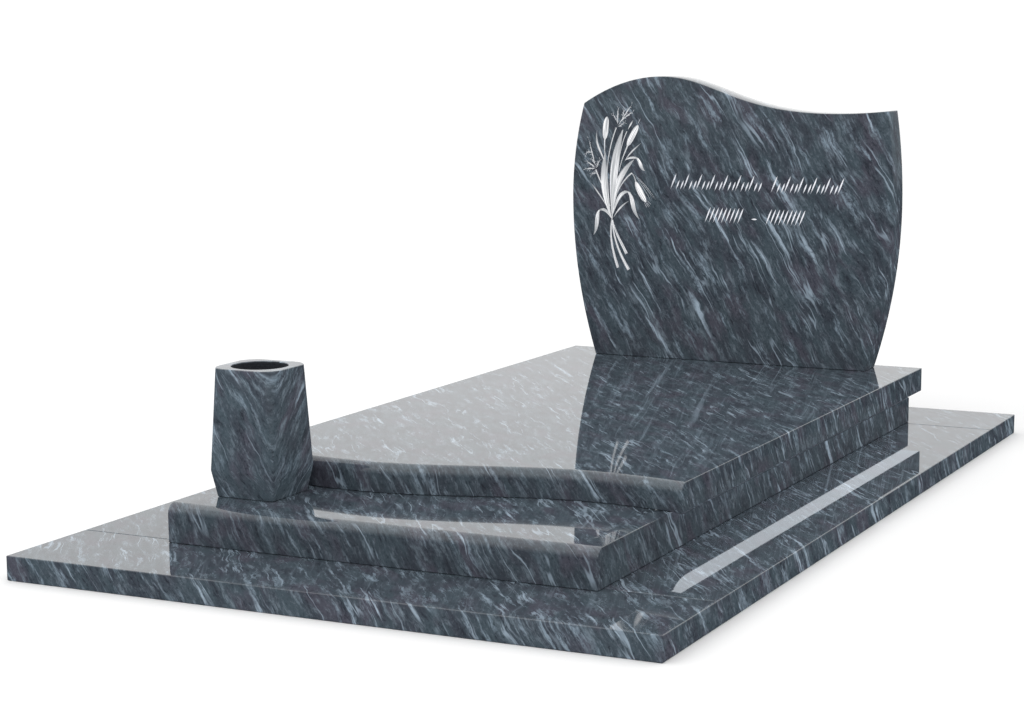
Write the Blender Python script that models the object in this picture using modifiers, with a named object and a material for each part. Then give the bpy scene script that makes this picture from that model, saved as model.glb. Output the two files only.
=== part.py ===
"""Granite grave monument: footing slabs, plinth, ledger, headstone and flower vase.

Units are metres, +Z is up, the front faces -Y and +X is to the right of someone
who stands in front. The origin is the middle of the footing's underside.
"""
import math

import bmesh
import bpy
from mathutils import Vector

# Gap that resting or neighbouring stones keep
REST_GAP = 0.0003

# Edges: every sawn edge is eased, and two front edges carry a round nose
ARRIS = 0.002
ARRIS_SEGMENTS = 2
NOSE_RADIUS = 0.022
NOSE_SEGMENTS = 9

# Angles in degrees: an edge this sharp is eased, one this sharp is shaded sharp,
# and faces this close to one plane are one face
EASED_ANGLE = 50.0
SHADED_ANGLE = 35.0
FLAT_ANGLE = 0.05

# Points closer than this are the same point
SAME_POINT = 0.00001

# Plinth: one slab under the ledger that stands out in front of it as a ledge
PLINTH_LENGTH = 1.95
PLINTH_THICKNESS = 0.08

# Ledger: the covering slab, with a wavy front edge
LEDGER_WIDTH = 1.00
LEDGER_THICKNESS = 0.06
LEDGER_OVERHANG = 0.025
LEDGE_DEPTH = 0.263
WAVE_DEPTH = 0.100

# Relief: under the ledger the plinth's long sides are lower, so that a shadow gap runs
# below the overhang. It starts behind the ledger's front in the round run-out of a saw
# disc. The cutters stand clear of the stone.
RELIEF_HEIGHT = 0.0155
RELIEF_WIDTH = 0.045
RELIEF_SETBACK = 0.096
SAW_RADIUS = 0.150
RUNOUT_STEPS = 8
CUTTER_CLEARANCE = 0.004

# Footing: four slabs laid flat as a frame that the plinth's rim bears on
FOOTING_THICKNESS = 0.05
FOOTING_BAND = 0.25
FOOTING_BEARING = 0.025
FOOTING_JOINT = 0.001

# Headstone: an upright slab with bowed sides and a wave top
HEADSTONE_HEIGHT = 0.749
HEADSTONE_WIDTH = 0.90
HEADSTONE_THICKNESS = 0.08
HEADSTONE_SETBACK = 0.04
ENGRAVING_DEPTH = 0.0015

# Vase: a square stone block with soft upper corners and a bored hole
VASE_WIDTH = 0.151
VASE_FOOT_WIDTH = 0.133
VASE_FOOT_HEIGHT = 0.055
VASE_HEIGHT = 0.265
VASE_RIM_CORNER = 0.041
VASE_FOOT_CORNER = 0.003
VASE_BORE_RADIUS = 0.058
VASE_BORE_DEPTH = 0.20
VASE_SIDE_INSET = 0.045
VASE_BACK_CLEARANCE = 0.024

# Sizes and levels that follow from the ones above
PLINTH_WIDTH = LEDGER_WIDTH - 2 * LEDGER_OVERHANG
FOOTING_WIDTH = PLINTH_WIDTH - 2 * FOOTING_BEARING + 2 * FOOTING_BAND
FOOTING_LENGTH = PLINTH_LENGTH - 2 * FOOTING_BEARING + 2 * FOOTING_BAND
PLINTH_BASE = FOOTING_THICKNESS + REST_GAP
LEDGER_BASE = PLINTH_BASE + PLINTH_THICKNESS + REST_GAP
HEADSTONE_BASE = LEDGER_BASE + LEDGER_THICKNESS + REST_GAP
VASE_BASE = PLINTH_BASE + PLINTH_THICKNESS + REST_GAP
LEDGER_BACK = PLINTH_LENGTH / 2 + LEDGER_OVERHANG
LEDGER_CREST = LEDGE_DEPTH - PLINTH_LENGTH / 2

# Wave of the ledger's front edge in plan, as shares of the ledger's half width
# across and of the wave's depth back from its foremost point
WAVE_CREST = -0.38
WAVE_DIP = 0.60
WAVE_LEFT_END = 0.50
WAVE_RIGHT_END = 0.76
WAVE_CREST_PULL = 0.36
WAVE_DIP_PULL = 0.36

# Headstone outline, as shares of its half width across and of its height up
FOOT_SHARE = 0.85
BELLY_SHARE = 0.57
LEFT_CORNER = (-0.925, 0.903)
RIGHT_CORNER = (0.958, 0.892)
TOP_CREST = -0.422
TOP_DIP = (0.613, 0.880)
TOP_CREST_PULL = 0.30
TOP_DIP_PULL = 0.56

# Bouquet on the headstone: its height is a share of the headstone's, and its
# tie, where the stems cross, sits at these shares of half width and height
BOUQUET_SHARE = 0.60
TIE = (-0.742, 0.489)

CURVE_STEPS = 16
RIBBON_STEPS = 7
CORNER_STEPS = 8
VASE_BANDS = 8

# Half widths along a ribbon, as shares of its widest: a leaf or a ray swells above
# its middle and ends in a point, a seed head is a long oval and a stem widens
LEAF_SKEW = 1.25
LEAF_FULLNESS = 0.8
LEAF_TIP = 0.12
HEAD_SQUARENESS = 2.6
HEAD_FULLNESS = 0.6
HEAD_TIP = 0.18
STEM_START = 0.45

# Each stroke of the bouquet is a bent ribbon: control points as shares of the
# bouquet's height from the tie, widest width as such a share, and its form
STROKES = (
    ("stem_low_left", ((0, 0.01), (-0.022, -0.10), (0.008, -0.20), (0.039, -0.286)), 0.018, "stem"),
    ("stem_low_middle", ((0, 0), (0.010, -0.13), (0.060, -0.22), (0.109, -0.295)), 0.019, "stem"),
    ("stem_low_right", ((0.002, 0), (0.020, -0.08), (0.060, -0.13), (0.094, -0.200)), 0.019, "stem"),
    ("leaf_centre", ((0, 0), (0, 0.20), (0.010, 0.38), (0.070, 0.538)), 0.052, "leaf"),
    ("leaf_left", ((0, 0.005), (-0.050, 0.12), (-0.062, 0.26), (-0.045, 0.400)), 0.047, "leaf"),
    ("leaf_left_tip", ((-0.050, 0.330), (-0.060, 0.40), (-0.118, 0.44), (-0.098, 0.530)), 0.013, "leaf"),
    ("leaf_right", ((0.002, 0.01), (0.010, 0.20), (0.060, 0.29), (0.142, 0.362)), 0.036, "leaf"),
    ("bent_right_rise", ((0.084, 0.355), (0.110, 0.378), (0.140, 0.375), (0.176, 0.370)), 0.014, "leaf"),
    ("bent_right_fall", ((0.140, 0.376), (0.188, 0.374), (0.176, 0.312), (0.212, 0.298)), 0.022, "leaf"),
    ("low_right_rise", ((0, 0.02), (0.030, 0.12), (0.060, 0.19), (0.122, 0.165)), 0.022, "leaf"),
    ("low_right_fall", ((0.080, 0.176), (0.150, 0.172), (0.112, 0.075), (0.178, 0.012)), 0.027, "leaf"),
    ("low_left_rise", ((0, 0), (-0.030, 0.055), (-0.050, 0.070), (-0.092, 0.053)), 0.018, "leaf"),
    ("low_left_fall", ((-0.070, 0.060), (-0.112, 0.055), (-0.085, -0.030), (-0.121, -0.093)), 0.026, "leaf"),
    ("blade_left", ((-0.030, 0.070), (-0.065, 0.13), (-0.100, 0.17), (-0.136, 0.214)), 0.009, "leaf"),
    ("blade_low_right", ((0.006, 0.010), (0.030, 0.05), (0.060, 0.09), (0.109, 0.115)), 0.010, "leaf"),
    ("blade_high_right", ((0.075, 0.340), (0.110, 0.40), (0.140, 0.42), (0.187, 0.460)), 0.009, "leaf"),
    ("blade_spike", ((0.102, 0.535), (0.112, 0.56), (0.125, 0.575), (0.136, 0.595)), 0.010, "leaf"),
    ("stem_spike", ((0.040, 0.320), (0.050, 0.40), (0.062, 0.46), (0.096, 0.528)), 0.007, "stem"),
    ("stem_droop", ((0.012, 0.110), (0.040, 0.19), (0.080, 0.25), (0.129, 0.283)), 0.009, "stem"),
    ("stem_droop_end", ((0.127, 0.284), (0.140, 0.27), (0.148, 0.25), (0.156, 0.226)), 0.008, "stem"),
    ("stem_right_head", ((0.045, 0.290), (0.060, 0.36), (0.080, 0.40), (0.103, 0.448)), 0.009, "stem"),
    ("stem_left_head", ((-0.047, 0.380), (-0.051, 0.42), (-0.050, 0.45), (-0.048, 0.485)), 0.009, "stem"),
    ("stem_tall_plume", ((-0.034, 0.250), (-0.032, 0.38), (-0.005, 0.47), (0.027, 0.549)), 0.009, "stem"),
    ("stem_left_plume", ((-0.012, 0.080), (-0.045, 0.17), (-0.085, 0.24), (-0.108, 0.297)), 0.009, "stem"),
    ("head_droop", ((0.152, 0.232), (0.172, 0.19), (0.196, 0.15), (0.220, 0.112)), 0.038, "head"),
    ("head_right", ((0.098, 0.440), (0.116, 0.48), (0.146, 0.53), (0.168, 0.565)), 0.037, "head"),
    ("head_left", ((-0.048, 0.476), (-0.045, 0.52), (-0.040, 0.57), (-0.033, 0.612)), 0.038, "head"),
    ("plume_tall_axis", ((0.029, 0.549), (0.062, 0.590), (0.095, 0.645), (0.125, 0.682)), 0.006, "ray"),
    ("plume_tall_right", ((0.048, 0.576), (0.075, 0.604), (0.105, 0.626), (0.136, 0.643)), 0.006, "ray"),
    ("plume_tall_low", ((0.034, 0.552), (0.050, 0.557), (0.066, 0.567), (0.084, 0.583)), 0.005, "ray"),
    ("plume_tall_upright", ((0.033, 0.558), (0.036, 0.590), (0.036, 0.625), (0.039, 0.664)), 0.006, "ray"),
    ("plume_tall_left", ((0.033, 0.575), (0.028, 0.595), (0.020, 0.612), (0.005, 0.626)), 0.005, "ray"),
    ("plume_tall_middle", ((0.068, 0.606), (0.070, 0.622), (0.072, 0.640), (0.080, 0.655)), 0.005, "ray"),
    ("plume_left_axis", ((-0.106, 0.297), (-0.116, 0.350), (-0.134, 0.400), (-0.153, 0.480)), 0.006, "ray"),
    ("plume_left_high", ((-0.109, 0.305), (-0.122, 0.316), (-0.140, 0.330), (-0.168, 0.345)), 0.007, "ray"),
    ("plume_left_out", ((-0.107, 0.300), (-0.128, 0.308), (-0.148, 0.300), (-0.171, 0.299)), 0.006, "ray"),
    ("plume_left_low", ((-0.100, 0.272), (-0.110, 0.278), (-0.122, 0.277), (-0.134, 0.268)), 0.005, "ray"),
    ("plume_left_right", ((-0.106, 0.302), (-0.098, 0.320), (-0.092, 0.338), (-0.080, 0.354)), 0.006, "ray"),
    ("plume_left_middle", ((-0.112, 0.325), (-0.116, 0.340), (-0.124, 0.352), (-0.134, 0.360)), 0.005, "ray"),
    ("plume_left_curl", ((-0.127, 0.385), (-0.140, 0.408), (-0.165, 0.405), (-0.172, 0.385)), 0.005, "ray"),
)

# Inscription: two rows of plain slanting strokes. A row gives its middle level
# as a share of the headstone's height, its runs as shares of the half width, its
# stroke height as a share of the headstone's height, and how many strokes make
# up a repeat that starts with a tall one
STROKE_ROWS = (
    (0.622, ((-0.36, 0.21), (0.27, 0.70)), 0.034, 3),
    (0.520, ((-0.14, 0.09), (0.24, 0.47)), 0.054, 0),
)
STROKE_PITCH = 0.0120
STROKE_SLANT = 22.0
STROKE_WIDTH = 0.0042
TALL_STROKE = 1.7
DASH_PLACE = (0.162, 0.510)
DASH_LENGTH = 0.016

GRANITE_COLOUR = (0.062, 0.073, 0.092, 1.0)
GRANITE_ROUGHNESS = 0.06


def clear_scene():
    for leftover in list(bpy.data.objects):
        bpy.data.objects.remove(leftover, do_unlink=True)


def new_collection(name):
    collection = bpy.data.collections.new(name)
    bpy.context.scene.collection.children.link(collection)
    return collection


def granite(name):
    """Polished granite as a plain Principled material of its own."""
    material = bpy.data.materials.new(name)
    material.use_nodes = True
    shader = material.node_tree.nodes["Principled BSDF"]
    shader.inputs["Base Color"].default_value = GRANITE_COLOUR
    shader.inputs["Roughness"].default_value = GRANITE_ROUGHNESS
    shader.inputs["Metallic"].default_value = 0.0
    material.diffuse_color = GRANITE_COLOUR
    return material


def finish_stone(stone, parent):
    """Give a stone its material, smooth its round stretches and hang it on the parent."""
    mesh = stone.data
    mesh.materials.clear()
    mesh.materials.append(granite(stone.name + "_granite"))
    mesh.shade_smooth()
    mesh.set_sharp_from_angle(angle=math.radians(SHADED_ANGLE))
    stone.parent = parent


def block(name, collection, size, centre):
    """Rectangular slab from a cube, with its size in the mesh and its place in the object."""
    mesh = bpy.data.meshes.new(name)
    cube = bmesh.new()
    bmesh.ops.create_cube(cube, size=1.0)
    bmesh.ops.scale(cube, vec=Vector(size), verts=cube.verts)
    cube.to_mesh(mesh)
    cube.free()
    stone = bpy.data.objects.new(name, mesh)
    stone.location = centre
    collection.objects.link(stone)
    return stone


def flat_slab(name, collection, outline, thickness):
    """Slab of a flat outline: a filled 2D curve with extrude, made a welded mesh."""
    curve = bpy.data.curves.new(name + "_outline", "CURVE")
    curve.dimensions = "2D"
    curve.fill_mode = "BOTH"
    curve.extrude = thickness / 2
    spline = curve.splines.new("POLY")
    spline.points.add(len(outline) - 1)
    for point, (across, up) in zip(spline.points, outline):
        point.co = (across, up, 0.0, 1.0)
    spline.use_cyclic_u = True
    guide = bpy.data.objects.new(name + "_outline", curve)
    collection.objects.link(guide)
    evaluated = guide.evaluated_get(bpy.context.evaluated_depsgraph_get())
    mesh = bpy.data.meshes.new_from_object(evaluated)
    mesh.name = name
    welded = bmesh.new()
    welded.from_mesh(mesh)
    bmesh.ops.remove_doubles(welded, verts=welded.verts, dist=SAME_POINT)
    bmesh.ops.dissolve_limit(
        welded, angle_limit=math.radians(FLAT_ANGLE), verts=welded.verts, edges=welded.edges
    )
    bmesh.ops.recalc_face_normals(welded, faces=welded.faces)
    welded.to_mesh(mesh)
    welded.free()
    slab = bpy.data.objects.new(name, mesh)
    slab.matrix_world = guide.matrix_world.copy()
    collection.objects.link(slab)
    bpy.data.objects.remove(guide, do_unlink=True)
    return slab


def bezier(points, steps):
    """Points along a Bezier curve of any degree, by repeated interpolation."""
    found = []
    for step in range(steps + 1):
        share = step / steps
        level = [Vector(point) for point in points]
        while len(level) > 1:
            level = [near.lerp(far, share) for near, far in zip(level, level[1:])]
        found.append(level[0])
    return found


def joined(*runs):
    """Join runs of points end to end and drop the doubled ones."""
    line = []
    for run in runs:
        for point in run:
            if not line or (point - line[-1]).length > SAME_POINT:
                line.append(point)
    return line


def half_parabola(end, vertex, upright):
    """Arc from an end to a vertex, where it runs level, or upright if so asked."""
    if upright:
        handle = (vertex[0], (vertex[1] + end[1]) / 2)
    else:
        handle = ((vertex[0] + end[0]) / 2, vertex[1])
    return bezier((end, handle, vertex), CURVE_STEPS)


def wave(left, crest, dip, right, crest_pull, dip_pull):
    """Line from left to right over a crest and through a dip, level at both.

    The pulls are the handles of the middle stretch as shares of its run.
    """
    run = dip[0] - crest[0]
    middle = (
        crest,
        (crest[0] + run * crest_pull, crest[1]),
        (dip[0] - run * dip_pull, dip[1]),
        dip,
    )
    rise = half_parabola(left, crest, upright=False)
    fall = bezier(middle, 2 * CURVE_STEPS)
    end = list(reversed(half_parabola(right, dip, upright=False)))
    return joined(rise, fall, end)


def ease_edges(stone):
    """Take every sharp edge off by the arris."""
    bevel = stone.modifiers.new("arris", "BEVEL")
    bevel.width = ARRIS
    bevel.segments = ARRIS_SEGMENTS
    bevel.limit_method = "ANGLE"
    bevel.angle_limit = math.radians(EASED_ANGLE)
    bevel.use_clamp_overlap = False


def round_front_top(stone, thickness):
    """Quarter-round nose along the front top edge, which is marked by bevel weight."""
    mesh = stone.data
    marked = bmesh.new()
    marked.from_mesh(mesh)
    weight = marked.edges.layers.float.new("bevel_weight_edge")
    top = max(vertex.co.z for vertex in marked.verts)
    for edge in marked.edges:
        on_top = all(top - vertex.co.z < SAME_POINT for vertex in edge.verts)
        in_front = all(vertex.co.y < 0 for vertex in edge.verts)
        if on_top and in_front:
            edge[weight] = 1.0
    marked.to_mesh(mesh)
    marked.free()
    bevel = stone.modifiers.new("nose", "BEVEL")
    bevel.width = min(NOSE_RADIUS, thickness - 2 * ARRIS)
    bevel.segments = NOSE_SEGMENTS
    bevel.limit_method = "WEIGHT"
    bevel.use_clamp_overlap = False


def make_footing(collection, parent):
    """Front and back slabs run the full width, and the side slabs fit between them."""
    side_length = FOOTING_LENGTH - 2 * FOOTING_BAND - 2 * FOOTING_JOINT
    across = (FOOTING_WIDTH - FOOTING_BAND) / 2
    along = (FOOTING_LENGTH - FOOTING_BAND) / 2
    level = FOOTING_THICKNESS / 2
    full = (FOOTING_WIDTH, FOOTING_BAND, FOOTING_THICKNESS)
    side = (FOOTING_BAND, side_length, FOOTING_THICKNESS)
    places = (
        ("footing_front", full, (0, -along, level)),
        ("footing_back", full, (0, along, level)),
        ("footing_left", side, (-across, 0, level)),
        ("footing_right", side, (across, 0, level)),
    )
    for name, size, centre in places:
        slab = block(name, collection, size, centre)
        ease_edges(slab)
        finish_stone(slab, parent)


def make_relief_cutters(cutters):
    """One bar a side, whose outline in length and height is carried across the relief.

    The outline's front is an arc of the saw disc, which ends level with the floor.
    """
    run = math.sqrt(SAW_RADIUS**2 - (SAW_RADIUS - RELIEF_HEIGHT) ** 2)
    bottom = LEDGER_CREST + RELIEF_SETBACK + run
    whole = math.acos(1 - (RELIEF_HEIGHT + CUTTER_CLEARANCE) / SAW_RADIUS)
    outline = []
    for step in range(RUNOUT_STEPS + 1):
        turn = whole * (1 - step / RUNOUT_STEPS)
        lift = SAW_RADIUS * (1 - math.cos(turn))
        outline.append((bottom - SAW_RADIUS * math.sin(turn), lift - RELIEF_HEIGHT))
    back = PLINTH_LENGTH / 2 + CUTTER_CLEARANCE
    outline += [(back, -RELIEF_HEIGHT), (back, CUTTER_CLEARANCE)]
    width = RELIEF_WIDTH + CUTTER_CLEARANCE
    across = PLINTH_WIDTH / 2 + CUTTER_CLEARANCE - width / 2
    for name, side in (("left", -1), ("right", 1)):
        cutter = flat_slab("relief_" + name, cutters, outline, width)
        cutter.rotation_euler = (math.pi / 2, 0, math.pi / 2)
        cutter.location = (side * across, 0, PLINTH_BASE + PLINTH_THICKNESS)
        cutter.hide_render = True
        cutter.display_type = "WIRE"


def make_plinth(collection, cutters, parent):
    size = (PLINTH_WIDTH, PLINTH_LENGTH, PLINTH_THICKNESS)
    plinth = block("plinth", collection, size, (0, 0, PLINTH_BASE + PLINTH_THICKNESS / 2))
    round_front_top(plinth, PLINTH_THICKNESS)
    ease_edges(plinth)
    make_relief_cutters(cutters)
    cut = plinth.modifiers.new("relief", "BOOLEAN")
    cut.operation = "DIFFERENCE"
    cut.solver = "EXACT"
    cut.operand_type = "COLLECTION"
    cut.collection = cutters
    finish_stone(plinth, parent)


def make_ledger(collection, parent):
    """Slab with a straight back and a front edge that swings out and in."""
    half = LEDGER_WIDTH / 2

    def front(across, back):
        return (half * across, LEDGER_CREST + WAVE_DEPTH * back)

    line = wave(
        front(-1, WAVE_LEFT_END),
        front(WAVE_CREST, 0),
        front(WAVE_DIP, 1),
        front(1, WAVE_RIGHT_END),
        WAVE_CREST_PULL,
        WAVE_DIP_PULL,
    )
    outline = line + [Vector((half, LEDGER_BACK)), Vector((-half, LEDGER_BACK))]
    ledger = flat_slab("ledger", collection, outline, LEDGER_THICKNESS)
    ledger.location.z = LEDGER_BASE + LEDGER_THICKNESS / 2
    round_front_top(ledger, LEDGER_THICKNESS)
    ease_edges(ledger)
    finish_stone(ledger, parent)


def headstone_outline():
    """Bowed sides and a wave top, counter-clockwise from the foot's left end."""
    half = HEADSTONE_WIDTH / 2
    height = HEADSTONE_HEIGHT

    def place(across, up):
        return (half * across, height * up)

    left = joined(
        half_parabola(place(-FOOT_SHARE, 0), place(-1, BELLY_SHARE), upright=True),
        reversed(half_parabola(place(*LEFT_CORNER), place(-1, BELLY_SHARE), upright=True)),
    )
    top = wave(
        place(*LEFT_CORNER),
        place(TOP_CREST, 1),
        place(*TOP_DIP),
        place(*RIGHT_CORNER),
        TOP_CREST_PULL,
        TOP_DIP_PULL,
    )
    right = joined(
        half_parabola(place(*RIGHT_CORNER), place(1, BELLY_SHARE), upright=True),
        reversed(half_parabola(place(FOOT_SHARE, 0), place(1, BELLY_SHARE), upright=True)),
    )
    return list(reversed(joined(left, top, right)))


def ribbon_width(form, share):
    """Half width along a ribbon as a share of its widest, by the kind of stroke."""
    if form in ("leaf", "ray"):
        return max(LEAF_TIP, math.sin(math.pi * share**LEAF_SKEW) ** LEAF_FULLNESS)
    if form == "head":
        oval = 1 - abs(2 * share - 1) ** HEAD_SQUARENESS
        return max(HEAD_TIP, oval**HEAD_FULLNESS)
    return STEM_START + (1 - STEM_START) * share


def ribbon_outline(spine, width, form):
    """Closed outline of a ribbon: its spine moved half its width to each side."""
    left, right = [], []
    last = len(spine) - 1
    for index, point in enumerate(spine):
        ahead = spine[min(index + 1, last)] - spine[max(index - 1, 0)]
        side = Vector((-ahead.y, ahead.x)).normalized()
        reach = side * (width / 2 * ribbon_width(form, index / last))
        left.append(point + reach)
        right.append(point - reach)
    return right + list(reversed(left))


def bouquet_ribbons():
    """Outlines of the bouquet's strokes on the headstone's face."""
    size = HEADSTONE_HEIGHT * BOUQUET_SHARE
    tie = Vector((HEADSTONE_WIDTH / 2 * TIE[0], HEADSTONE_HEIGHT * TIE[1]))
    found = []
    for name, points, width, form in STROKES:
        placed = [tie + Vector(point) * size for point in points]
        found.append((name, ribbon_outline(bezier(placed, RIBBON_STEPS), width * size, form)))
    return found


def plain_stroke(foot, reach):
    """Outline of a straight stroke that swells in its middle."""
    spine = [foot, foot + reach / 2, foot + reach]
    return ribbon_outline(spine, STROKE_WIDTH, "leaf")


def inscription_ribbons():
    """Outlines of the slanting strokes and of the level dash in the lower row."""
    half = HEADSTONE_WIDTH / 2
    found = []
    for level, runs, share, repeat in STROKE_ROWS:
        rise = HEADSTONE_HEIGHT * share
        foot = HEADSTONE_HEIGHT * level - rise / 2
        for start, end in runs:
            count = max(1, round((end - start) * half / STROKE_PITCH))
            for index in range(count):
                tall = rise * TALL_STROKE if repeat and index % repeat == 0 else rise
                lean = math.tan(math.radians(STROKE_SLANT)) * tall
                across = half * (start + (end - start) * (index + 0.5) / count)
                outline = plain_stroke(Vector((across - lean / 2, foot)), Vector((lean, tall)))
                found.append((f"stroke_{len(found)}", outline))
    middle = Vector((half * DASH_PLACE[0], HEADSTONE_HEIGHT * DASH_PLACE[1]))
    reach = Vector((DASH_LENGTH, 0))
    found.append(("dash", plain_stroke(middle - reach / 2, reach)))
    return found


def make_engraving_cutters(cutters, face):
    """One shallow cutter a stroke, standing half in front of the headstone's face."""
    for name, outline in bouquet_ribbons() + inscription_ribbons():
        cutter = flat_slab("cut_" + name, cutters, outline, 2 * ENGRAVING_DEPTH)
        cutter.rotation_euler.x = math.pi / 2
        cutter.location = (0, face, HEADSTONE_BASE)
        cutter.hide_render = True
        cutter.display_type = "WIRE"


def make_headstone(collection, cutters, parent):
    """Upright slab near the ledger's back edge, with the engraving cut into its face."""
    back = LEDGER_BACK - HEADSTONE_SETBACK
    headstone = flat_slab("headstone", collection, headstone_outline(), HEADSTONE_THICKNESS)
    headstone.rotation_euler.x = math.pi / 2
    headstone.location = (0, back - HEADSTONE_THICKNESS / 2, HEADSTONE_BASE)
    ease_edges(headstone)
    make_engraving_cutters(cutters, back - HEADSTONE_THICKNESS)
    engraving = headstone.modifiers.new("engraving", "BOOLEAN")
    engraving.operation = "DIFFERENCE"
    engraving.solver = "EXACT"
    engraving.operand_type = "COLLECTION"
    engraving.collection = cutters
    finish_stone(headstone, parent)


def soft_square(half, corner, level):
    """Square ring with round corners, counter-clockwise, at one level."""
    ring = []
    for quarter in range(4):
        for step in range(CORNER_STEPS + 1):
            turn = math.radians(90) * (quarter + step / CORNER_STEPS)
            mid = math.radians(90) * quarter + math.radians(45)
            centre = Vector((math.copysign(1, math.cos(mid)), math.copysign(1, math.sin(mid))))
            point = centre * (half - corner) + Vector((math.cos(turn), math.sin(turn))) * corner
            ring.append((point.x, point.y, level))
    return ring


def bore_ring(outer, radius, level):
    """Circle whose points stand on the same bearings as an outer ring's."""
    ring = []
    for across, along, _ in outer:
        bearing = math.atan2(along, across)
        ring.append((radius * math.cos(bearing), radius * math.sin(bearing), level))
    return ring


def make_vase(collection, parent):
    """Loft of soft squares: a tapered foot, straight sides that lose their corners
    towards the rim, and a blind round bore."""
    foot = VASE_FOOT_WIDTH / 2
    half = VASE_WIDTH / 2
    rings = [soft_square(foot, VASE_FOOT_CORNER, 0.0)]
    for band in range(VASE_BANDS + 1):
        share = band / VASE_BANDS
        corner = VASE_FOOT_CORNER + (VASE_RIM_CORNER - VASE_FOOT_CORNER) * share
        level = VASE_FOOT_HEIGHT + (VASE_HEIGHT - VASE_FOOT_HEIGHT) * share
        rings.append(soft_square(half, corner, level))
    rings.append(bore_ring(rings[-1], VASE_BORE_RADIUS, VASE_HEIGHT))
    rings.append(bore_ring(rings[-1], VASE_BORE_RADIUS, VASE_HEIGHT - VASE_BORE_DEPTH))
    loft = bmesh.new()
    loops = [[loft.verts.new(point) for point in ring] for ring in rings]
    for lower, upper in zip(loops, loops[1:]):
        for index, vertex in enumerate(lower):
            beyond = (index + 1) % len(lower)
            loft.faces.new((vertex, lower[beyond], upper[beyond], upper[index]))
    loft.faces.new(list(reversed(loops[0])))
    loft.faces.new(loops[-1])
    bmesh.ops.recalc_face_normals(loft, faces=loft.faces)
    mesh = bpy.data.meshes.new("vase")
    loft.to_mesh(mesh)
    loft.free()
    vase = bpy.data.objects.new("vase", mesh)
    collection.objects.link(vase)
    across = VASE_SIDE_INSET + half - PLINTH_WIDTH / 2
    along = LEDGER_CREST - VASE_BACK_CLEARANCE - half
    vase.location = (across, along, VASE_BASE)
    ease_edges(vase)
    finish_stone(vase, parent)


def main():
    clear_scene()
    stones = new_collection("grave_monument")
    relief_cutters = new_collection("relief_cutters")
    engraving_cutters = new_collection("engraving_cutters")
    monument = bpy.data.objects.new("monument", None)
    stones.objects.link(monument)
    make_footing(stones, monument)
    make_plinth(stones, relief_cutters, monument)
    make_ledger(stones, monument)
    make_headstone(stones, engraving_cutters, monument)
    make_vase(stones, monument)


main()
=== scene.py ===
"""Looks of the granite grave monument: polished veined stones, a silvered engraving,
studio light and the camera.

Units are metres in the frame's own axes: +Z up, the front faces -Y, +X to the right.
Every stone is a surface worked out on a grid of two parameters and takes its place
and size from the box of the node that it stands for.
"""
import math

import bmesh
import bpy
import numpy as np
from mathutils import Matrix, Vector
from mathutils.geometry import delaunay_2d_cdt


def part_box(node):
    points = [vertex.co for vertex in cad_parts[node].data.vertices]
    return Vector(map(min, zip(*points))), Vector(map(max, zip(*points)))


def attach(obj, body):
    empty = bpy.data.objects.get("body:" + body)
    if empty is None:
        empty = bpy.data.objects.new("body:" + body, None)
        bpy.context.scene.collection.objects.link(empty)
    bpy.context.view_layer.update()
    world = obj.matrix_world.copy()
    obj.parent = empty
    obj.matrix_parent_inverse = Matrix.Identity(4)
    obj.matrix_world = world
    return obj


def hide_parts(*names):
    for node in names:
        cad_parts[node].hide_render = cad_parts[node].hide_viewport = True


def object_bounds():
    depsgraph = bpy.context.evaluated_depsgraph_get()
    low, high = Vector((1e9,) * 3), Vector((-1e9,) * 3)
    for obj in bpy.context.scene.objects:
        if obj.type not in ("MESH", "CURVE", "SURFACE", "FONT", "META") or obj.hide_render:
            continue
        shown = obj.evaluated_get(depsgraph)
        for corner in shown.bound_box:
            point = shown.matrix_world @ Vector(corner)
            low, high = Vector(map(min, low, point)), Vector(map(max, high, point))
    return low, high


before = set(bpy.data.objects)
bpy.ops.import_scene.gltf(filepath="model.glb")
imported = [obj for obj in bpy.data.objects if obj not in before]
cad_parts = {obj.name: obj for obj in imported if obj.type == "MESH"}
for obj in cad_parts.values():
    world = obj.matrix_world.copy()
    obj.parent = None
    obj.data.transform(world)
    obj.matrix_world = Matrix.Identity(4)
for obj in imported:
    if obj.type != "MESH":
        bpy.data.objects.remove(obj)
CAD_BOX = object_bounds()

# Picture: the photograph's frame and the camera that was solved from it
IMAGE_WIDTH = 1024
IMAGE_HEIGHT = 703
FOCAL_PIXELS = 2244.46
PRINCIPAL_POINT = (604.45, 408.0)
CAMERA_PLACE = (2.1463, -4.6182, 1.0837)
CAMERA_AZIMUTH = 24.474
CAMERA_ELEVATION = 9.783
SENSOR_WIDTH = 36.0

# Light: an even white surround, a large soft box overhead and a white floor
SURROUND_STRENGTH = 1.2
UNDER_SURROUND = (0.03, 0.03, 0.035)
HORIZON = (-0.07, -0.025)
SOFT_BOX_PLACE = (-2.5, -3.0, 5.0)
SOFT_BOX_AIM = (0, 0, 0.3)
SOFT_BOX_SIZE = 5.0
SOFT_BOX_POWER = 60.0
FLOOR_SIZE = 120.0
FLOOR_DROP = 0.0005
FLOOR_WHITE = 0.86

# Edges of the stones, as in the solids
ARRIS = 0.002
NOSE_RADIUS = 0.022
ARRIS_STEPS = 4
NOSE_STEPS = 14
ARRIS_TURN = np.linspace(0, math.pi / 2, ARRIS_STEPS + 1)
SMALLEST_RADIUS_SHARE = 0.1

# Tolerances, and the cosines past which a normal is astray or a face looks to the front
SAME_PLACE = 0.00001
WELD = 1e-6
CUT_TOLERANCE = 1e-7
ASTRAY = 0.6
FACING = 0.999

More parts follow.
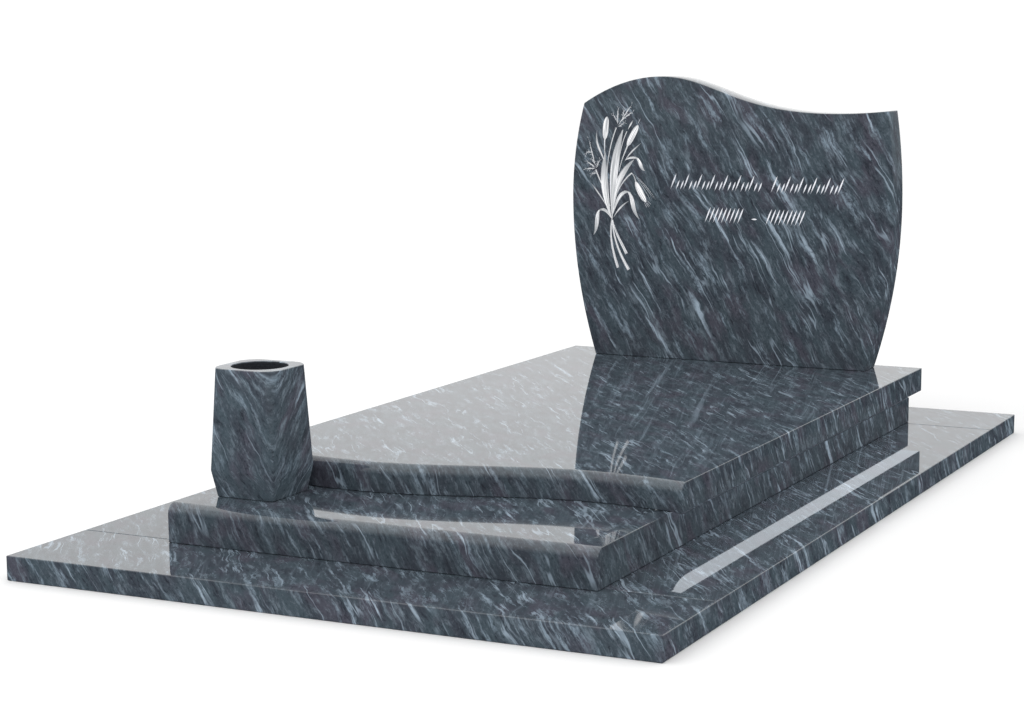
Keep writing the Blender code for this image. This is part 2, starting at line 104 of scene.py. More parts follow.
# Wave of the ledger's front edge in plan: shares of the half width across, and
# of the wave's depth back from the foremost point
LEDGER_WAVE_DEPTH = 0.100
LEDGER_WAVE = ((-1.0, 0.50), (-0.38, 0.0), (0.60, 1.0), (1.0, 0.76), 0.36, 0.36)
LEDGER_WAVE_STEPS = 200
LEDGER_SECTIONS = 121

# Relief: under the ledger the plinth's long sides are lower, behind the saw's run-out
RELIEF_HEIGHT = 0.0155
RELIEF_WIDTH = 0.045
RELIEF_START = -0.616
SAW_RADIUS = 0.150
RUNOUT_STEPS = 8
LEDGER_OVERHANG = 0.025

# Headstone outline: shares of the half width across and of the height up
FOOT_SHARE = 0.85
BELLY_SHARE = 0.57
LEFT_CORNER = (-0.925, 0.903)
RIGHT_CORNER = (0.958, 0.892)
HEADSTONE_WAVE = (LEFT_CORNER, (-0.422, 1.0), (0.613, 0.880), RIGHT_CORNER, 0.30, 0.56)
OUTLINE_STEPS = 40

# Engraving: groove depth, and how far the silver fills it
ENGRAVING_DEPTH = 0.0015
SILVER_FLOOR = 0.00004
SILVER_CROWN = 0.0005
SILVER_WIDTH_SHARE = 0.97
STROKE_LIFT = 0.00002
BOUQUET_SHARE = 0.60
TIE = (-0.742, 0.489)
RIBBON_STEPS = 22
RIBBON_ACROSS = 8

# Half widths along a ribbon, as shares of its widest; a ray goes as a leaf
LEAF_SKEW = 1.25
LEAF_FULLNESS = 0.8
LEAF_TIP = 0.12
HEAD_SQUARENESS = 2.6
HEAD_FULLNESS = 0.6
HEAD_TIP = 0.18
STEM_START = 0.45

# Strokes of the bouquet by form, the later ones in front: across and up of four control
# points as shares of the bouquet's height from the tie, and the widest width as one
STROKES = {
    "stem": (
        (0, 0.01, -0.022, -0.10, 0.008, -0.20, 0.039, -0.286, 0.018),
        (0, 0, 0.010, -0.13, 0.060, -0.22, 0.109, -0.295, 0.019),
        (0.002, 0, 0.020, -0.08, 0.060, -0.13, 0.094, -0.200, 0.019),
        (0.040, 0.320, 0.050, 0.40, 0.062, 0.46, 0.096, 0.528, 0.007),
        (0.012, 0.110, 0.040, 0.19, 0.080, 0.25, 0.129, 0.283, 0.009),
        (0.127, 0.284, 0.140, 0.27, 0.148, 0.25, 0.156, 0.226, 0.008),
        (0.045, 0.290, 0.060, 0.36, 0.080, 0.40, 0.103, 0.448, 0.009),
        (-0.047, 0.380, -0.051, 0.42, -0.050, 0.45, -0.048, 0.485, 0.009),
        (-0.034, 0.250, -0.032, 0.38, -0.005, 0.47, 0.027, 0.549, 0.009),
        (-0.012, 0.080, -0.045, 0.17, -0.085, 0.24, -0.108, 0.297, 0.009),
    ),
    "leaf": (
        (-0.030, 0.070, -0.065, 0.13, -0.100, 0.17, -0.136, 0.214, 0.009),
        (0.006, 0.010, 0.030, 0.05, 0.060, 0.09, 0.109, 0.115, 0.010),
        (0.075, 0.340, 0.110, 0.40, 0.140, 0.42, 0.187, 0.460, 0.009),
        (0.102, 0.535, 0.112, 0.56, 0.125, 0.575, 0.136, 0.595, 0.010),
        (-0.050, 0.330, -0.060, 0.40, -0.118, 0.44, -0.098, 0.530, 0.013),
        (0.002, 0.01, 0.010, 0.20, 0.060, 0.29, 0.142, 0.362, 0.036),
        (0, 0.005, -0.050, 0.12, -0.062, 0.26, -0.045, 0.400, 0.047),
        (0, 0, 0, 0.20, 0.010, 0.38, 0.070, 0.538, 0.052),
        (0.084, 0.355, 0.110, 0.378, 0.140, 0.375, 0.176, 0.370, 0.014),
        (0.140, 0.376, 0.188, 0.374, 0.176, 0.312, 0.212, 0.298, 0.022),
        (0, 0.02, 0.030, 0.12, 0.060, 0.19, 0.122, 0.165, 0.022),
        (0.080, 0.176, 0.150, 0.172, 0.112, 0.075, 0.178, 0.012, 0.027),
        (0, 0, -0.030, 0.055, -0.050, 0.070, -0.092, 0.053, 0.018),
        (-0.070, 0.060, -0.112, 0.055, -0.085, -0.030, -0.121, -0.093, 0.026),
    ),
    "head": (
        (0.152, 0.232, 0.172, 0.19, 0.196, 0.15, 0.220, 0.112, 0.038),
        (0.098, 0.440, 0.116, 0.48, 0.146, 0.53, 0.168, 0.565, 0.037),
        (-0.048, 0.476, -0.045, 0.52, -0.040, 0.57, -0.033, 0.612, 0.038),
    ),
    "ray": (
        (0.029, 0.549, 0.062, 0.590, 0.095, 0.645, 0.125, 0.682, 0.006),
        (0.048, 0.576, 0.075, 0.604, 0.105, 0.626, 0.136, 0.643, 0.006),
        (0.034, 0.552, 0.050, 0.557, 0.066, 0.567, 0.084, 0.583, 0.005),
        (0.033, 0.558, 0.036, 0.590, 0.036, 0.625, 0.039, 0.664, 0.006),
        (0.033, 0.575, 0.028, 0.595, 0.020, 0.612, 0.005, 0.626, 0.005),
        (0.068, 0.606, 0.070, 0.622, 0.072, 0.640, 0.080, 0.655, 0.005),
        (-0.106, 0.297, -0.116, 0.350, -0.134, 0.400, -0.153, 0.480, 0.006),
        (-0.109, 0.305, -0.122, 0.316, -0.140, 0.330, -0.168, 0.345, 0.007),
        (-0.107, 0.300, -0.128, 0.308, -0.148, 0.300, -0.171, 0.299, 0.006),
        (-0.100, 0.272, -0.110, 0.278, -0.122, 0.277, -0.134, 0.268, 0.005),
        (-0.106, 0.302, -0.098, 0.320, -0.092, 0.338, -0.080, 0.354, 0.006),
        (-0.112, 0.325, -0.116, 0.340, -0.124, 0.352, -0.134, 0.360, 0.005),
        (-0.127, 0.385, -0.140, 0.408, -0.165, 0.405, -0.172, 0.385, 0.005),
    ),
}

# Fine hairs on the face: barbs along each ray of the grass heads, and awns by their four
# control points
BARBS_PER_RAY = 8
BARB_START = 0.15
BARB_REACH = 0.018
BARB_REACH_SPREAD = (0.6, 1.3)
BARB_LEAN = 26.0
BARB_LEAN_SPREAD = (0.5, 1.4)
BARB_BEND = 1.5
HAIR_WIDTH = 0.0009
HAIR_PROUD = 0.00006
HAIR_STEPS = 6
AWN_SEED = 11
AWNS = (
    (0.135, 0.280, 0.190, 0.250, 0.240, 0.190, 0.286, 0.130),
    (0.140, 0.274, 0.190, 0.240, 0.235, 0.180, 0.272, 0.135),
    (0.150, 0.262, 0.190, 0.225, 0.225, 0.170, 0.256, 0.120),
    (0.214, 0.118, 0.224, 0.105, 0.234, 0.095, 0.244, 0.078),
    (0.218, 0.122, 0.232, 0.108, 0.242, 0.095, 0.250, 0.088),
    (0.210, 0.116, 0.216, 0.102, 0.224, 0.090, 0.230, 0.080),
    (0.222, 0.126, 0.236, 0.118, 0.246, 0.110, 0.256, 0.100),
    (0.168, 0.570, 0.174, 0.585, 0.180, 0.595, 0.186, 0.604),
)

# Inscription: two rows of plain slanting strokes and a dash, as in the solids
STROKE_ROWS = (
    (0.622, ((-0.36, 0.21), (0.27, 0.70)), 0.034, 3),
    (0.520, ((-0.14, 0.09), (0.24, 0.47)), 0.054, 0),
)
STROKE_PITCH = 0.0120
STROKE_SLANT = 22.0
STROKE_WIDTH = 0.0042
TALL_STROKE = 1.7
DASH_PLACE = (0.162, 0.510)
DASH_LENGTH = 0.016

# Vase, as in the solids
VASE_FOOT_WIDTH = 0.133
VASE_FOOT_HEIGHT = 0.055
VASE_RIM_CORNER = 0.041
VASE_FOOT_CORNER = 0.003
VASE_BORE_RADIUS = 0.058
VASE_BORE_DEPTH = 0.20
BORE_FLOOR_RINGS = (0.66, 0.33)
VASE_CORNER_STEPS = 12
VASE_SIDE_STEPS = 12
VASE_BANDS = 16
VASE_SHARP_ANGLE = 50

# Foliation of the stone: the direction across the streaks, and for the vase,
# which was cut from another block, its own
SLAB_FOLIATION = (0.5, 0.4, 0.3)
VASE_FOLIATION = (0.62, -0.52, 0.36)

# Pattern of the stone: noises that shake its place, by scale and reach, then its noise
# layers by size across and along the foliation, detail and roughness
DRIFT = (5.0, 0.040)
RIPPLE = (26.0, 0.009)
SHAKE_DETAIL = 2.0
LAYERS = {
    "tint": ((0.035, 0.10, 0.10), 3.0, 0.6),
    "plum": ((0.045, 0.12, 0.12), 2.0, 0.5),
    "flakes": ((0.013, 0.060, 0.062), 5.0, 0.74),
    "grain": ((0.0045, 0.0085, 0.0090), 3.0, 0.75),
    "flame": ((0.0130, 0.110, 0.115), 4.0, 0.66),
    "patch": ((0.050, 0.11, 0.12), 2.0, 0.5),
    "thread": ((0.0140, 0.240, 0.250), 5.0, 0.62),
    "knot": ((0.035, 0.15, 0.16), 2.0, 0.55),
    "line": ((0.050, 0.60, 0.60), 3.0, 0.5),
    "spell": ((0.060, 0.12, 0.13), 2.0, 0.5),
}

# What shows where: a layer, its value where the feature sets in and where it is full
STEPS = {
    "teal": ("tint", 0.36, 0.62),
    "plum": ("plum", 0.50, 0.68),
    "dark_flakes": ("flakes", 0.47, 0.28),
    "light_flakes": ("flakes", 0.50, 0.72),
    "dark_grain": ("grain", 0.48, 0.28),
    "light_grain": ("grain", 0.54, 0.76),
    "wisps": ("flame", 0.53, 0.67),
    "wisp_patches": ("patch", 0.36, 0.56),
    "wisp_breaks": ("grain", 0.25, 0.62),
    "threads": ("thread", 0.57, 0.68),
    "thread_knots": ("knot", 0.44, 0.60),
    "thread_breaks": ("grain", 0.18, 0.50),
    "line_spells": ("spell", 0.50, 0.62),
}
LINE_EDGE = (0.014, 0.003)
GRAIN_SHADE = 0.55
GRAIN_GLINT = 0.50
WISP_STRENGTH = 0.85
LINE_STRENGTH = 0.60

# Where each stone lies in the pattern
SEED_SHIFTS = {
    "footing_front": (0.0, 0.0, 0.0),
    "footing_back": (3.1, 0.7, 1.9),
    "footing_left": (1.7, 2.3, 0.4),
    "footing_right": (0.0, 0.0, 2.6),
    "plinth": (2.2, 1.1, 0.8),
    "ledger": (0.9, 3.4, 1.3),
    "headstone": (1.3, 0.2, 2.1),
}
VASE_SEED_SHIFT = (0.4, 0.1, 0.6)

# Colours of the stone, as linear light
GROUND_DARK = (0.044, 0.053, 0.067)
GROUND_TEAL = (0.057, 0.077, 0.093)
GROUND_PLUM = (0.066, 0.068, 0.088)
FLAKE_DARK = (0.024, 0.028, 0.037)
FLAKE_LIGHT = (0.146, 0.182, 0.215)
GRAIN_DARK = (0.010, 0.012, 0.017)
GRAIN_LIGHT = (0.150, 0.172, 0.205)
WISP = (0.235, 0.300, 0.362)
VEIN = (0.340, 0.420, 0.500)
VASE_LIFT = 1.18
SAWN_PALE = (0.55, 0.57, 0.60)
SAWN_PALENESS = 0.85

# Polish: mirror-bright noses and tops, satin sides and sawn pale undersides; the relief is
# darkened as painted shade, and the ledger's overhang glows underneath as painted light.
# An edge is a range of the normal's height over which a finish sets in, and a noise goes
# by scale, detail and roughness.
POLISH_IOR = 1.60
POLISH_ROUGHNESS = 0.03
SIDE_POLISH = 0.12
FLAT_LOSS = 0.123
NOSE_EDGE = (0.1, 0.6)
TOP_EDGE = (0.93, 1.0)
UNDER_EDGE = (-0.98, -0.998)
STONE_ROUGHNESS = 0.40
SAWN_ROUGHNESS = 0.9
# Painted light: the colour with which the underside of the ledger's overhang glows
UNDERSIDE_PAINTED_LIGHT = (1.26, 1.33, 1.41)
PAINTED_LIGHT_SETBACK = 0.006
SAW_MARKS = (600.0, 3.0, 0.6)
SAW_MARK_DEPTH = 0.0004
RELIEF_ROUGHNESS = 0.8
RELIEF_SPECULAR = 0.1
# Painted shade: how far the relief's floor and wall are darkened towards black in the gap under
# the ledger
RELIEF_PAINTED_SHADE = 0.6

# Bumps, by strength and distance
SAW_MARK_BUMP = (0.5, 1.0)
DRILL_RING_BUMP = (0.4, 0.0004)
SILVER_GRIT_BUMP = (0.3, 0.0001)

# Bore of the vase: near black as painted shade, mottled by a noise, with the drill's rings
BORE_DEEP_SHADE = (0.012, 0.014, 0.018)
BORE_PALER_SHADE = (0.0264, 0.0308, 0.0396)
BORE_GRAIN = (260.0, 4.0, 0.7)
BORE_MOTTLE = (0.35, 0.7)
BORE_ROUGHNESS = 0.95
BORE_UNEVENNESS = 0.3
DRILL_RINGS = 60.0
DRILL_WOBBLE = 1.5

# Silver: bright and dim colour and how strong the streaks are. Its paint thins out
# between two places along a leaf, and it glows with a share of its colour as painted
# light, so that it is as bright as in the picture. Strokes that aren't leaves end before they
# fade.
BOUQUET_SILVER = ((0.97, 0.97, 0.98), (0.17, 0.19, 0.21), 0.80)
INSCRIPTION_SILVER = ((0.84, 0.85, 0.89), (0.56, 0.58, 0.63), 0.5)
HAIR_SILVER = ((0.66, 0.68, 0.72), (0.35, 0.37, 0.41), 0.8)
SILVER_ROUGHNESS = 0.45
SILVER_PAINTED_LIGHT = 0.22
SILVER_GRIT = (900.0, 2.0, 0.6)
PAINT_FADE = (0.45, 0.85)
FULL_PAINT_END = 0.5
CHART_MARGIN = 0.05
BRUSH_SCALE = (7.0, 1.3, 1.0)
BRUSH = (1.0, 3.0, 0.6)
BRUSH_STREAKS = (0.35, 0.62)
FADE_STREAKS = (0.68, 0.38)
GROOVE_COLOURS = ((0.42, 0.44, 0.48), (0.62, 0.64, 0.68))
GROOVE_ROUGHNESS = 0.5
GROOVE_GRIT = (400.0, 3.0, 0.6)
GROOVE_MOTTLE = (0.3, 0.7)


def mesh_values(items, name, width=1, kind=float):
    """One attribute of a mesh's points, corners or faces as an array, a row for each."""
    values = np.zeros(len(items) * width, kind)
    items.foreach_get(name, values)
    return values.reshape(-1, width) if width > 1 else values


def new_object(name, data):
    """Object that holds the data, in the scene."""
    made = bpy.data.objects.new(name, data)
    bpy.context.scene.collection.objects.link(made)
    return made


def new_piece(name, points, faces, materials, replaced=(), finishes=None, weld=None):
    """Mesh object at the origin whose points are already in place, riding on the root.

    Finishes gives each face the number of its material. With a weld, points closer than
    that become one, and points without a face go.
    """
    mesh = bpy.data.meshes.new(name)
    mesh.from_pydata(np.asarray(points, float).tolist(), [], faces)
    if finishes is not None:
        mesh.polygons.foreach_set("material_index", finishes)
    tidy = bmesh.new()
    tidy.from_mesh(mesh)
    if weld:
        bmesh.ops.remove_doubles(tidy, verts=tidy.verts, dist=weld)
        loose = [vertex for vertex in tidy.verts if not vertex.link_faces]
        bmesh.ops.delete(tidy, geom=loose, context="VERTS")
    bmesh.ops.recalc_face_normals(tidy, faces=tidy.faces)
    tidy.to_mesh(mesh)
    tidy.free()
    mesh.shade_smooth()
    piece = new_object(name, mesh)
    for material in materials:
        mesh.materials.append(material)
    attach(piece, "root")
    if replaced:
        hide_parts(*replaced)
    return piece


def unit_rows(vectors):
    """Vectors divided by their lengths."""
    return vectors / np.linalg.norm(vectors, axis=-1, keepdims=True)


def set_normals(mesh, normals):
    """Give every corner its point's exact normal, so that a polished flat stays flat to
    its edge; where that is far from the face's own normal, the face's own."""
    corner_points = mesh_values(mesh.loops, "vertex_index", kind=int)
    totals = mesh_values(mesh.polygons, "loop_total", kind=int)
    flat = np.repeat(mesh_values(mesh.polygons, "normal", 3), totals, axis=0)
    chosen = unit_rows(normals).reshape(-1, 3)[corner_points]
    astray = (chosen * flat).sum(1) < ASTRAY
    chosen[astray] = flat[astray]
    mesh.normals_split_custom_set(chosen.tolist())


def tube_faces(rows, columns, first_cap=True):
    """Faces of a tube of points, ring after ring: four-sided ones around it, then a cap
    over the first ring, if it is wanted, and one over the last."""
    index = np.arange(rows * columns).reshape(rows, columns)
    closed = np.hstack([index, index[:, :1]])
    corners = [closed[:-1, :-1], closed[:-1, 1:], closed[1:, 1:], closed[1:, :-1]]
    faces = np.stack(corners, axis=-1).reshape(-1, 4).tolist()
    if first_cap:
        faces.append(index[0].tolist())
    faces.append(index[-1].tolist())
    return faces


def bezier(points, steps):
    """Points along a Bezier curve of any degree: the Bernstein sum of its control points."""
    control = np.asarray(points, float)
    degree = len(control) - 1
    share = np.linspace(0, 1, steps + 1)[:, None]
    total = np.zeros((steps + 1, control.shape[1]))
    for rank, point in enumerate(control):
        total += math.comb(degree, rank) * share**rank * (1 - share) ** (degree - rank) * point
    return total


def wave_line(left, crest, dip, right, crest_pull, dip_pull, steps):
    """Line from left to right over a crest and through a dip: a parabola level at the
    crest, a cubic level at both, and a parabola level at the dip."""
    run = dip[0] - crest[0]
    rise = bezier((left, ((left[0] + crest[0]) / 2, crest[1]), crest), steps)
    near = (crest[0] + run * crest_pull, crest[1])
    far = (dip[0] - run * dip_pull, dip[1])
    fall = bezier((crest, near, far, dip), 2 * steps)
    end = bezier((dip, ((right[0] + dip[0]) / 2, dip[1]), right), steps)
    return np.vstack([rise, fall[1:], end[1:]])


def saw_runout():
    """Y and depth of the relief's floor where the round saw disc comes out at the front:
    y = start + run - r sin t, depth = height - r (1 - cos t), for t that falls to 0."""
    run = math.sqrt(SAW_RADIUS**2 - (SAW_RADIUS - RELIEF_HEIGHT)**2)
    turns = np.linspace(math.asin(run / SAW_RADIUS), 0, RUNOUT_STEPS + 1)
    places = RELIEF_START + run - SAW_RADIUS * np.sin(turns)
    return zip(places, RELIEF_HEIGHT - SAW_RADIUS * (1 - np.cos(turns)))


def make_slab(name, node, nose, materials, front_line=None, rings=2, relief=False):
    """Slab as a loaf of sections set side by side along X.

    A section is a rectangle in Y and Z whose corners are arcs: the arris at three and
    the nose at the front top. Its front edge follows front_line(x), and distances back
    from it are stretched by sqrt(1 + slope squared), so that they are true across the
    edge. Towards both ends the sections shrink by arris * (1 - cos t) while X closes
    in by arris * sin t, which eases the end edges. With relief, the sections near both
    ends are lower behind the relief's start, by the saw's arc and then evenly.
    """
    low, high = (np.array(corner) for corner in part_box(node))
    along = np.concatenate([
        low[0] + ARRIS - ARRIS * np.sin(ARRIS_TURN[:0:-1]),
        np.linspace(low[0] + ARRIS, high[0] - ARRIS, rings),
        high[0] - ARRIS + ARRIS * np.sin(ARRIS_TURN[1:]),
    ])
    tilt = np.concatenate([-ARRIS_TURN[:0:-1], np.zeros(rings), ARRIS_TURN[1:]])[:, None]
    drop = np.zeros((len(along), 1))
    if relief:
        wall = np.array([low[0] + RELIEF_WIDTH, high[0] - RELIEF_WIDTH])
        along = np.insert(along, ARRIS_STEPS + 1, [wall[0], wall[0], wall[1], wall[1]])
        tilt = np.insert(tilt, ARRIS_STEPS + 1, np.zeros(4))[:, None]
        drop = np.full((len(along), 1), RELIEF_HEIGHT)
        drop[ARRIS_STEPS + 2:ARRIS_STEPS + 4] = 0
    inset = ARRIS * (1 - np.cos(tilt))
    if front_line is None:
        front = np.full((len(along), 1), low[1])
        slope = np.zeros((len(along), 1))
    else:
        front, slope = (value[:, None] for value in front_line(along))
    stretch = np.sqrt(1 + slope**2)
    side = np.sin(tilt)[..., None] * np.array([1, 0, 0])
    corners = (
        (True, low[2], 1, ARRIS, np.linspace(-math.pi / 2, -math.pi, ARRIS_STEPS + 1)),
        (True, high[2], -1, nose, np.linspace(math.pi, math.pi / 2, NOSE_STEPS + 1)),
        (False, high[2] - drop, -1, ARRIS, np.linspace(math.pi / 2, 0, ARRIS_STEPS + 1)),
        (False, low[2], 1, ARRIS, np.linspace(0, -math.pi / 2, ARRIS_STEPS + 1)),
    )
    points, normals = [], []
    for in_front, level, inward, radius, angle in corners:
        if relief and not in_front and inward < 0:
            for place, depth in saw_runout():
                level_there = high[2] - drop * depth / RELIEF_HEIGHT - inset
                points.append(np.stack([along[:, None], 0 * drop + place, level_there], -1))
                normals.append(np.stack([np.sin(tilt), 0 * tilt, np.cos(tilt)], -1))
        small = np.maximum(radius - inset, radius * SMALLEST_RADIUS_SHARE)
        outward = np.array([0, 1, 0])
        if in_front:
            y = front + stretch * (inset + small * (1 + np.cos(angle)))
            outward = np.stack([-slope, 1 + 0 * slope, 0 * slope], -1) / stretch[..., None]
        else:
            y = high[1] - (inset + small * (1 - np.cos(angle)))
        z = level + inward * (inset + small) + small * np.sin(angle)
        points.append(np.stack([along[:, None] + 0 * y, y, z], -1))
        flat = np.cos(angle)[None, :, None] * outward
        up = np.sin(angle)[None, :, None] * np.array([0, 0, 1])
        normals.append(np.cos(tilt)[..., None] * (flat + up) + side)
    points = np.concatenate(points, axis=1)
    faces = tube_faces(*points.shape[:2])
    piece = new_piece(name, points.reshape(-1, 3), faces, materials, (node,))
    set_normals(piece.data, np.concatenate(normals, axis=1))
    if relief:
        centres = mesh_values(piece.data.polygons, "center", 3)
        aside = np.abs(centres[:, 0]) > high[0] - RELIEF_WIDTH - SAME_PLACE
        behind = (centres[:, 1] > RELIEF_START) & (centres[:, 1] < high[1] - ARRIS)
        above = centres[:, 2] > high[2] - RELIEF_HEIGHT - ARRIS
        sawn = (aside & behind & above).astype(int)
        piece.data.polygons.foreach_set("material_index", sawn)


def ledger_front(along):
    """Front edge of the ledger at each X, and its slope: the wave in plan."""
    low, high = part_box("ledger")
    line = wave_line(*LEDGER_WAVE, LEDGER_WAVE_STEPS)
    across = line[:, 0] * ((high.x - low.x) / 2)
    back = low.y + line[:, 1] * LEDGER_WAVE_DEPTH
    slope = np.gradient(back, across)
    return np.interp(along, across, back), np.interp(along, across, slope)


def fillet_corner(before, corner, after):
    """Arc of the arris's radius that rounds a corner between two stretches, from one
    tangent point to the other."""
    come = (corner - before) / np.linalg.norm(corner - before)
    leave = (after - corner) / np.linalg.norm(after - corner)
    bend = math.acos(np.clip(come @ leave, -1, 1))
    start = corner - come * (ARRIS * math.tan(bend / 2))
    left = np.array([-come[1], come[0]])
    side = math.copysign(1, left @ leave)
    centre = start + left * side * ARRIS
    turn = np.linspace(0, bend, ARRIS_STEPS + 1)[:, None] * side
    arm = start - centre
    return centre + np.cos(turn) * arm + np.sin(turn) * np.array([-arm[1], arm[0]])


def headstone_size():
    """Half width, height and foot level of the headstone."""
    low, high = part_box("headstone")
    return (high.x - low.x) / 2, high.z - low.z, low.z


def headstone_outline():
    """Closed outline in X and height, counter-clockwise seen from the front: bowed sides
    that are parabolas upright at the belly, and the wave top. Its corners are filleted
    by the arris."""
    half, height, level = headstone_size()

    def bow(side, corner):
        foot, belly = (side * FOOT_SHARE, 0), (side, BELLY_SHARE)
        lower = bezier((foot, (side, BELLY_SHARE / 2), belly), OUTLINE_STEPS)
        handle = (side, (BELLY_SHARE + corner[1]) / 2)
        return np.vstack([lower, bezier((belly, handle, corner), OUTLINE_STEPS)[1:]])

    right = bow(1, RIGHT_CORNER)
    top = wave_line(*HEADSTONE_WAVE, OUTLINE_STEPS)[::-1]
    left = bow(-1, LEFT_CORNER)[::-1]
    foot = np.array([[-FOOT_SHARE, 0.0], [FOOT_SHARE, 0.0]])
    scale = np.array([half, height])
    stretches = [stretch * scale for stretch in (right, top, left, foot)]
    line = []
    for index, stretch in enumerate(stretches):
        line.append(stretch[1:-1])
        following = stretches[(index + 1) % len(stretches)]
        line.append(fillet_corner(stretch[-2], stretch[-1], following[1]))
    return np.vstack(line) + np.array([0, level])


def outline_normals(line):
    """Outward normals of a closed counter-clockwise line, from its neighbours' chord."""
    chord = np.roll(line, -1, axis=0) - np.roll(line, 1, axis=0)
    return unit_rows(np.stack([chord[:, 1], -chord[:, 0]], -1))


def ribbon_width(form, share):
    """Half width along a ribbon as a share of its widest: a skewed sine for a leaf or a
    ray, a long oval for a seed head, a straight taper for a stem."""
    if form in ("leaf", "ray"):
        return np.maximum(LEAF_TIP, np.sin(math.pi * share**LEAF_SKEW) ** LEAF_FULLNESS)
    if form == "head":
        oval = 1 - np.abs(2 * share - 1) ** HEAD_SQUARENESS
        return np.maximum(HEAD_TIP, oval**HEAD_FULLNESS)
    return STEM_START + (1 - STEM_START) * share


def ribbon_sides(spine, width, form):
    """Spine of a ribbon with its left-hand normals and its half widths."""
    ahead = unit_rows(np.gradient(spine, axis=0))
    side = np.stack([-ahead[:, 1], ahead[:, 0]], -1)
    return spine, side, width / 2 * ribbon_width(form, np.linspace(0, 1, len(spine)))


def bouquet_place():
    """Tie point and height of the bouquet on the headstone's face."""
    half, height, level = headstone_size()
    return np.array([half * TIE[0], level + height * TIE[1]]), height * BOUQUET_SHARE


def bouquet_ribbons():
    """Every groove of the bouquet as a spine, normals and half widths, with its form."""
    tie, size = bouquet_place()
    found = []
    for form, strokes in STROKES.items():
        for *points, width in strokes:
            spine = bezier(tie + np.reshape(points, (4, 2)) * size, RIBBON_STEPS)
            found.append((ribbon_sides(spine, width * size, form), form))
    return found


def inscription_ribbons():
    """The slanting strokes and the dash as spines, normals and half widths."""
    half, height, level = headstone_size()
    slant = math.tan(math.radians(STROKE_SLANT))
    found = []

    def stroke(foot, reach):
        spine = foot + np.linspace(0, 1, RIBBON_STEPS // 2)[:, None] * reach
        found.append((ribbon_sides(spine, STROKE_WIDTH, "leaf"), "stroke"))

    for middle, runs, share, repeat in STROKE_ROWS:
        rise = height * share
        foot = level + height * middle - rise / 2
        for start, end in runs:
            count = max(1, round((end - start) * half / STROKE_PITCH))
            for index in range(count):
                tall = rise * TALL_STROKE if repeat and index % repeat == 0 else rise
                lean = slant * tall
                across = half * (start + (end - start) * (index + 0.5) / count)
                stroke(np.array([across - lean / 2, foot]), np.array([lean, tall]))
    centre = np.array([half * DASH_PLACE[0], level + height * DASH_PLACE[1]])
    reach = np.array([DASH_LENGTH, 0.0])
    stroke(centre - reach / 2, reach)
    return found


def make_headstone(ribbons, materials):
    """Upright slab: rings of its outline set back by the arris at both faces, a plain
    back, and a front face cut by the grooves.

    The front is a constrained triangulation of the outline with every ribbon's outline
    in it. Triangles inside a ribbon are the grooves' floors and lie deeper, and each
    edge between a floor and the face gets a wall.
    """
    low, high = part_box("headstone")
    line = headstone_outline()
    outward = outline_normals(line)
    insets = ARRIS * (1 - np.cos(ARRIS_TURN))
    depths = ARRIS * (1 - np.sin(ARRIS_TURN))
    front = zip(low.y + depths[::-1], insets[::-1])
    back = zip(high.y - depths, insets)
    points = []
    for y, inset in (*front, *back):
        ring = line - outward * min(inset, ARRIS * (1 - SMALLEST_RADIUS_SHARE))
        points.append(np.stack([ring[:, 0], np.full(len(ring), y), ring[:, 1]], -1))
    columns = len(line)
    faces = tube_faces(len(points), columns, first_cap=False)
    points = np.concatenate(points)

    flat_points = [Vector(point) for point in points[:columns][:, [0, 2]]]
    rings = [list(range(columns))]
    for (spine, side, reach), _ in ribbons:
        arm = side * reach[:, None]
        edge = np.vstack([spine - arm, (spine + arm)[::-1]])
        rings.append(list(range(len(flat_points), len(flat_points) + len(edge))))
        flat_points.extend(Vector(point) for point in edge)
    found = delaunay_2d_cdt(flat_points, [], rings, 1, CUT_TOLERANCE, True)
    spots = np.array([tuple(spot) for spot in found[0]])
    kept = [(face, max(sources)) for face, sources in zip(found[2], found[5]) if 0 in sources]
    triangles = np.array([face for face, _ in kept])
    in_groove = np.array([last > 0 for _, last in kept])

    start = len(points)
    face_layer = np.stack([spots[:, 0], np.full(len(spots), low.y), spots[:, 1]], -1)
    floor_layer = face_layer + np.array([0, ENGRAVING_DEPTH, 0])
    outer = triangles[~in_groove] + start
    floor = triangles[in_groove] + start + len(spots)
    edges = np.sort(triangles[:, [[0, 1], [1, 2], [2, 0]]].reshape(-1, 2), axis=1)
    owner = np.repeat(in_groove, 3)
    keys = edges[:, 0].astype(np.int64) * len(spots) + edges[:, 1]
    shared = np.intersect1d(keys[owner], keys[~owner])
    near, far = shared // len(spots) + start, shared % len(spots) + start
    walls = np.stack([near, far, far + len(spots), near + len(spots)], -1)
    points = np.vstack([points, face_layer, floor_layer])
    first_groove = len(faces) + len(outer)
    faces = faces + outer.tolist() + floor.tolist() + walls.tolist()
    silvered = (np.arange(len(faces)) >= first_groove).astype(int)
    piece = new_piece(
        "headstone_stone", points, faces, materials, ("headstone",),
        silvered, WELD,
    )
    set_headstone_normals(piece.data, low.y, high.y)


def set_headstone_normals(mesh, front, back):
    """Flat normals on the face, the floors, the walls and the back, and on the rim
    between them the average of the faces around each point."""
    corner_points = mesh_values(mesh.loops, "vertex_index", kind=int)
    totals = mesh_values(mesh.polygons, "loop_total", kind=int)
    flat = mesh_values(mesh.polygons, "normal", 3)
    silvered = mesh_values(mesh.polygons, "material_index", kind=int)
    owner = np.repeat(np.arange(len(mesh.polygons)), totals)
    plane = (np.abs(flat[:, 1]) > FACING) | (silvered == 1)
    around = np.zeros((len(mesh.vertices), 3))
    rim = ~plane[owner]
    np.add.at(around, corner_points[rim], flat[owner[rim]])
    depth = mesh_values(mesh.vertices, "co", 3)[:, 1]
    around[np.isclose(depth, front, atol=WELD)] = (0, -1, 0)
    around[np.isclose(depth, back, atol=WELD)] = (0, 1, 0)
    chosen = np.where(plane[owner][:, None], flat[owner], around[corner_points])
    mesh.normals_split_custom_set(unit_rows(chosen).tolist())


